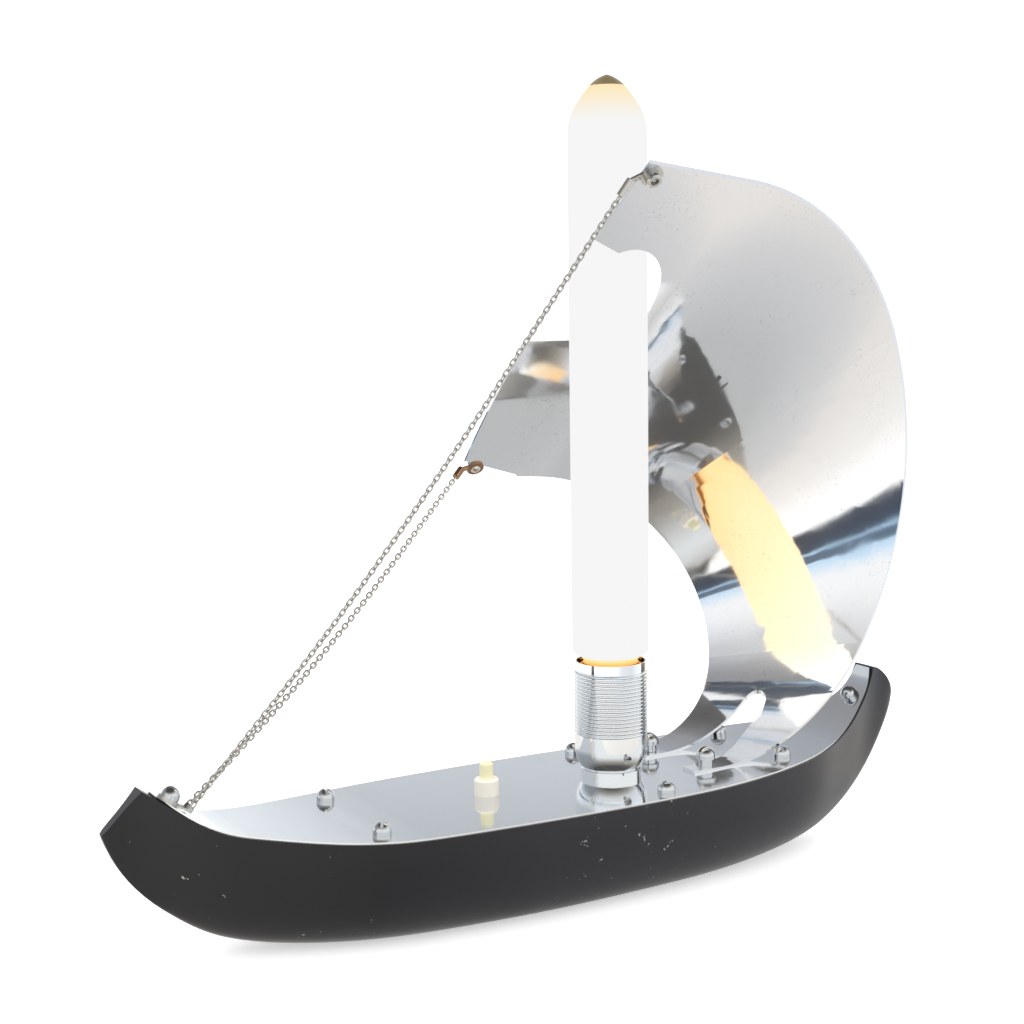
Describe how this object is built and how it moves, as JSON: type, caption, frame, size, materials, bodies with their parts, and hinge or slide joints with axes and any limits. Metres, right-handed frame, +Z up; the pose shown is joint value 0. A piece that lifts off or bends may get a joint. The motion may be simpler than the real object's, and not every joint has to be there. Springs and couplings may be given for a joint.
{
  "type": "table lamp",
  "caption": "Table lamp shaped as a sailing yacht: black lacquered hull with a chromed deck, tubular lamp as the mast in a ribbed bayonet holder, and a curved mirror sail held by two chains.",
  "frame": {"origin": "middle of the flat face of the felt that the hull rests on, on the hull's centreline", "axes": "+X towards the stern, +Y to the far side away from the sail's low near foot, +Z up"},
  "size_m": [0.3455, 0.1183, 0.3102],
  "materials": {
    "lacquered_wood": "black gloss lacquer on turned and planked wood, small pale chips at the edges",
    "deck_chrome": "mirror chromium plate, lightly worn",
    "screw_chrome": "chromed round-head slotted screws",
    "cover_board": "dark pressed board",
    "zinc_steel": "zinc-plated steel",
    "felt": "dark green felt",
    "black_plastic": "black moulded plastic",
    "holder_chrome": "bright chromium plate on brass",
    "brass": "plain brass",
    "ceramic": "unglazed white steatite",
    "spring_steel": "spring wire",
    "opal_glass": "opal white glass, glowing when lit",
    "clear_glass": "clear glass with a brown metallic deposit at the seal",
    "solder": "solder on brass pads",
    "black_vitrite": "black vitrite glass",
    "tungsten": "tungsten wire",
    "cream_plastic": "cream moulded push button",
    "sail_chrome": "mirror chromium plate on sheet metal, faint wiping marks",
    "tag_nickel": "nickel-plated brass, dulled",
    "tag_copper": "brass worn to a coppery brown",
    "chain_nickel": "nickel-plated fine link chain",
    "white_plastic": "white moulded terminal block",
    "lead_brown": "brown heat-resisting sleeve",
    "lead_blue": "blue heat-resisting sleeve"
  },
  "bodies": {
    "base": {"hull": "lacquered_wood", "deck_plate": "deck_chrome", "deck_screws": "screw_chrome", "stern_screw": "screw_chrome", "bow_screw": "screw_chrome", "cavity_cover": "cover_board", "cover_screws": "zinc_steel", "base_felt": "felt", "inlet_bush": "black_plastic", "holder_shell": "holder_chrome", "holder_neck": "holder_chrome", "grub_screw": "zinc_steel", "bayonet_sleeve": "brass", "holder_core": "ceramic", "contact_springs": "spring_steel", "holder_terminals": "brass", "nipple": "zinc_steel", "nipple_nut": "zinc_steel", "nipple_washer": "zinc_steel", "switch_collar": "holder_chrome", "switch_body": "black_plastic", "switch_spring": "spring_steel", "switch_contacts": "brass", "sail": "sail_chrome", "foot_screws": "screw_chrome", "foot_collars": "screw_chrome", "head_tag": "tag_nickel", "tack_tag": "tag_copper", "head_bolt": "tag_nickel", "head_nut": "tag_copper", "tack_screw": "tag_copper", "tack_nut": "tag_nickel", "chain_head": "chain_nickel", "chain_tack": "chain_nickel", "bow_tags": "tag_nickel", "terminal_block": "white_plastic", "lead_live": "lead_brown", "lead_switched": "lead_brown", "lead_neutral": "lead_blue"},
    "button": {"switch_plunger": "cream_plastic"},
    "contacts": {"contact_plungers": "brass"},
    "lamp": {"bulb_glass": "opal_glass", "bulb_tip": "clear_glass", "bulb_cap": "brass", "bulb_pins": "brass", "bulb_contacts": "solder", "bulb_insulator": "black_vitrite", "bulb_stem": "clear_glass", "bulb_filament": "tungsten"}
  },
  "joints": [
    {"name": "switch_push", "type": "slide", "parent": "base", "child": "button", "axis": [0, 0, -1], "range_m": [0, 0.003], "stiffness_N_per_m": 400, "springref_m": -0.002, "deforming": ["switch_spring"]},
    {"name": "contacts_push", "type": "slide", "parent": "base", "child": "contacts", "axis": [0, 0, -1], "range_m": [0, 0.0015], "stiffness_N_per_m": 800, "springref_m": -0.001, "deforming": ["contact_springs"]},
    {"name": "lamp_lift", "type": "slide", "parent": "base", "child": "lamp", "axis": [0, 0, 1], "range_m": [0, 0.03]}
  ]
}
